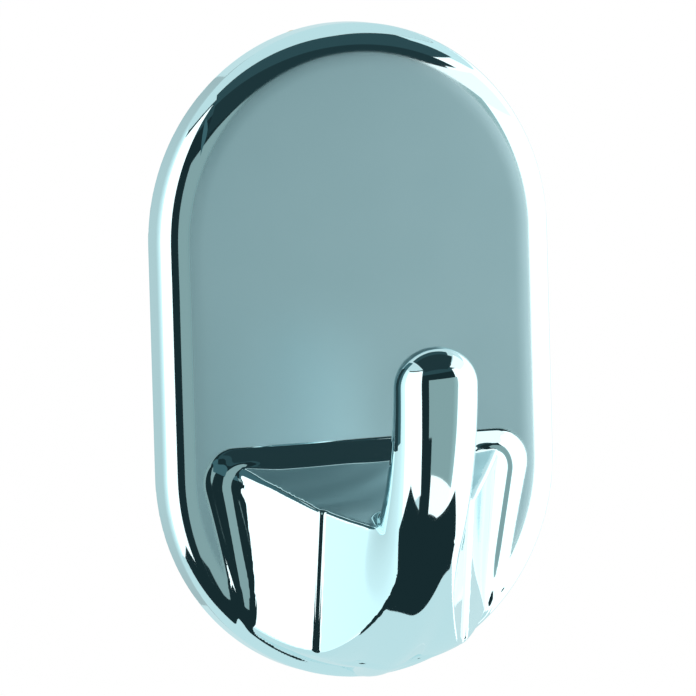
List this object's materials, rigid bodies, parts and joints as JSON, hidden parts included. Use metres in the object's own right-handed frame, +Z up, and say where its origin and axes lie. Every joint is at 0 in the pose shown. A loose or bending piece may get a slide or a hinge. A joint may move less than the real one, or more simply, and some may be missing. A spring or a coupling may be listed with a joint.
{
  "type": "adhesive wall hook",
  "caption": "Chrome-plated stick-on wall hook: oblong plate with rounded rim, tapered block with sloping shelf, and an upturned round-ended arm, on a double-sided foam pad with a release liner.",
  "frame": {"origin": "centre of the pad's rear face, on the wall plane, which is also the middle of the plate's height and width", "axes": "+X to the right seen from the front, +Y into the wall, +Z up; the front of the hook faces -Y"},
  "size_m": [0.04, 0.0231, 0.0614],
  "materials": {
    "chrome_plating": "polished",
    "acrylic_adhesive": "gloss",
    "pad_foam": "matte",
    "liner_paper": "satin"
  },
  "bodies": {
    "hook": {"hook_body": "chrome_plating", "hook_side_adhesive": "acrylic_adhesive", "foam_core": "pad_foam", "wall_side_adhesive": "acrylic_adhesive"},
    "liner": {"release_liner": "liner_paper"}
  },
  "joints": [
    {"name": "liner_pull_off", "type": "slide", "parent": "hook", "child": "liner", "axis": [0, 1, 0], "range_m": [0, 0.03]}
  ]
}
